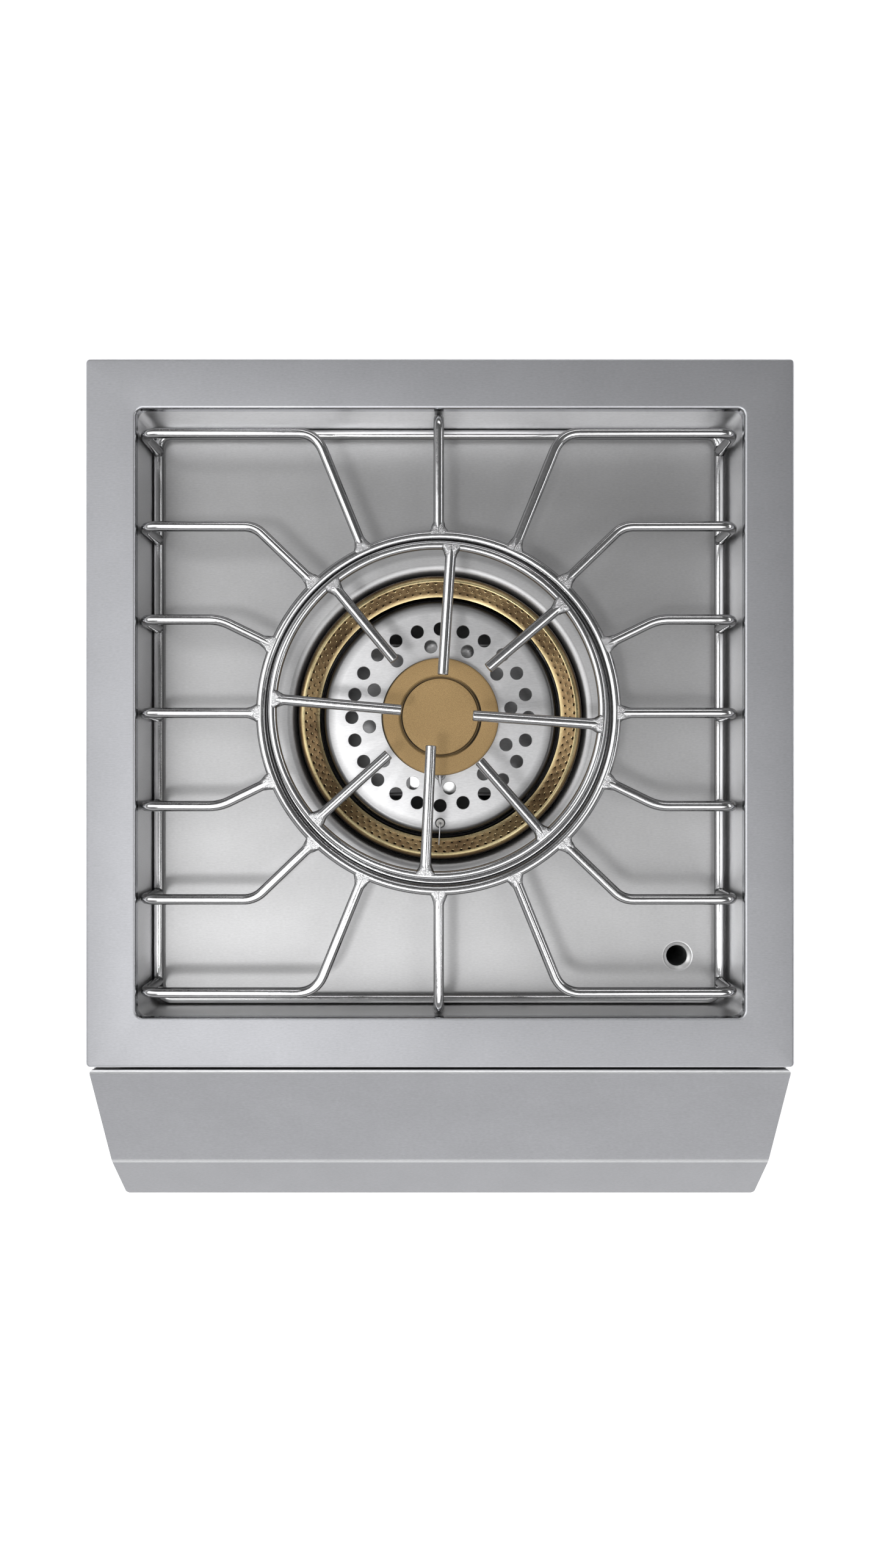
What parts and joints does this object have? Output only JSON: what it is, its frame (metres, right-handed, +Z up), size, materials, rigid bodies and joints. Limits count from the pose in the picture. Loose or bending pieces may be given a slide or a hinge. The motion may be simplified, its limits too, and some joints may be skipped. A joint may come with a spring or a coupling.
{
  "type": "built-in gas burner",
  "caption": "Square built-in gas burner with a recessed well, a welded rod grate with a loose trivet, a ring burner and a sloping fascia over the knobs.",
  "frame": {"origin": "middle of the underside of the whole box", "axes": "+Z up, +Y from the fascia to the back, +X to the right seen from the front"},
  "size_m": [0.508, 0.637, 0.2546],
  "materials": {
    "satin_steel": "satin brushed stainless",
    "well_steel": "fine satin stainless",
    "polished_steel": "electropolished stainless rod",
    "burner_brass": "heat-tinted brass, mottled",
    "bronze_cap": "matte bronze, fine grain",
    "brushed_disc": "straight brushed stainless",
    "bracket_steel": "bright mill-finish sheet",
    "cast_iron": "rough cast",
    "electrode_steel": "heat-greyed steel",
    "ceramic": "glazed white ceramic",
    "galvanised": "galvanised sheet, faint spangle",
    "fitting_brass": "turned brass",
    "knob_metal": "satin metal",
    "black_plastic": "matte black plastic"
  },
  "bodies": {
    "housing": {"deck_frame": "satin_steel", "well_pan": "well_steel", "drain_tube": "galvanised", "ring_burner_head": "burner_brass", "ring_burner_base": "cast_iron", "centre_burner": "bracket_steel", "centre_mixing_tube": "cast_iron", "baffle_disc": "brushed_disc", "burner_bracket": "bracket_steel", "igniter_ceramic": "ceramic", "igniter_wire": "electrode_steel", "centre_electrode": "electrode_steel", "casing_wrap": "galvanised", "casing_base": "galvanised", "fascia": "satin_steel", "control_side_left": "satin_steel", "control_side_right": "satin_steel", "control_panel": "satin_steel", "manifold": "galvanised", "gas_inlet": "fitting_brass", "valve_left": "fitting_brass", "valve_right": "fitting_brass", "ignition_module": "black_plastic"},
    "grate": {"grate_base_loop": "polished_steel", "grate_ring": "polished_steel", "grate_support_ring": "polished_steel", "grate_rod_back": "polished_steel", "grate_rod_front": "polished_steel", "grate_rod_left_middle": "polished_steel", "grate_rod_right_middle": "polished_steel", "grate_rod_left_back_1": "polished_steel", "grate_rod_left_back_2": "polished_steel", "grate_rod_left_back_3": "polished_steel", "grate_rod_left_front_1": "polished_steel", "grate_rod_left_front_2": "polished_steel", "grate_rod_left_front_3": "polished_steel", "grate_rod_right_back_1": "polished_steel", "grate_rod_right_back_2": "polished_steel", "grate_rod_right_back_3": "polished_steel", "grate_rod_right_front_1": "polished_steel", "grate_rod_right_front_2": "polished_steel", "grate_rod_right_front_3": "polished_steel"},
    "trivet": {"trivet_ring": "polished_steel", "trivet_finger_n": "polished_steel", "trivet_finger_ne": "polished_steel", "trivet_finger_e": "polished_steel", "trivet_finger_se": "polished_steel", "trivet_finger_s": "polished_steel", "trivet_finger_sw": "polished_steel", "trivet_finger_w": "polished_steel", "trivet_finger_nw": "polished_steel"},
    "cap": {"burner_cap": "bronze_cap"},
    "stem_left": {"valve_stem_left": "electrode_steel"},
    "knob_left": {"knob_left": "knob_metal"},
    "stem_right": {"valve_stem_right": "electrode_steel"},
    "knob_right": {"knob_right": "knob_metal"},
    "button": {"igniter_button": "black_plastic"},
    "tray": {"drip_tray": "galvanised"},
    "shutter_left": {"air_shutter_left": "galvanised"},
    "shutter_right": {"air_shutter_right": "galvanised"}
  },
  "joints": [
    {"name": "grate_lift", "type": "slide", "parent": "housing", "child": "grate", "axis": [0, 0, 1], "range_m": [0, 0.12]},
    {"name": "trivet_lift", "type": "slide", "parent": "grate", "child": "trivet", "axis": [0, 0, 1], "range_m": [0, 0.1]},
    {"name": "cap_lift", "type": "slide", "parent": "housing", "child": "cap", "axis": [0, 0, 1], "range_m": [0, 0.028]},
    {"name": "knob_left_turn", "type": "hinge", "parent": "housing", "child": "stem_left", "pos_m": [-0.1, -0.28, 0.095], "axis": [0, -1, 0], "range_deg": [0, 210]},
    {"name": "knob_left_push", "type": "slide", "parent": "stem_left", "child": "knob_left", "axis": [0, 1, 0], "range_m": [0, 0.004], "stiffness_N_per_m": 600},
    {"name": "knob_right_turn", "type": "hinge", "parent": "housing", "child": "stem_right", "pos_m": [0.1, -0.28, 0.095], "axis": [0, -1, 0], "range_deg": [0, 210]},
    {"name": "knob_right_push", "type": "slide", "parent": "stem_right", "child": "knob_right", "axis": [0, 1, 0], "range_m": [0, 0.004], "stiffness_N_per_m": 600},
    {"name": "igniter_press", "type": "slide", "parent": "housing", "child": "button", "axis": [0, 1, 0], "range_m": [0, 0.003], "stiffness_N_per_m": 400},
    {"name": "tray_slide", "type": "slide", "parent": "housing", "child": "tray", "axis": [0, -1, 0], "range_m": [0, 0.3]},
    {"name": "shutter_left_turn", "type": "hinge", "parent": "housing", "child": "shutter_left", "pos_m": [-0.1, -0.21, 0.095], "axis": [0, 1, 0], "range_deg": [0, 60]},
    {"name": "shutter_right_turn", "type": "hinge", "parent": "housing", "child": "shutter_right", "pos_m": [0.1, -0.21, 0.095], "axis": [0, 1, 0], "range_deg": [0, 60]}
  ]
}
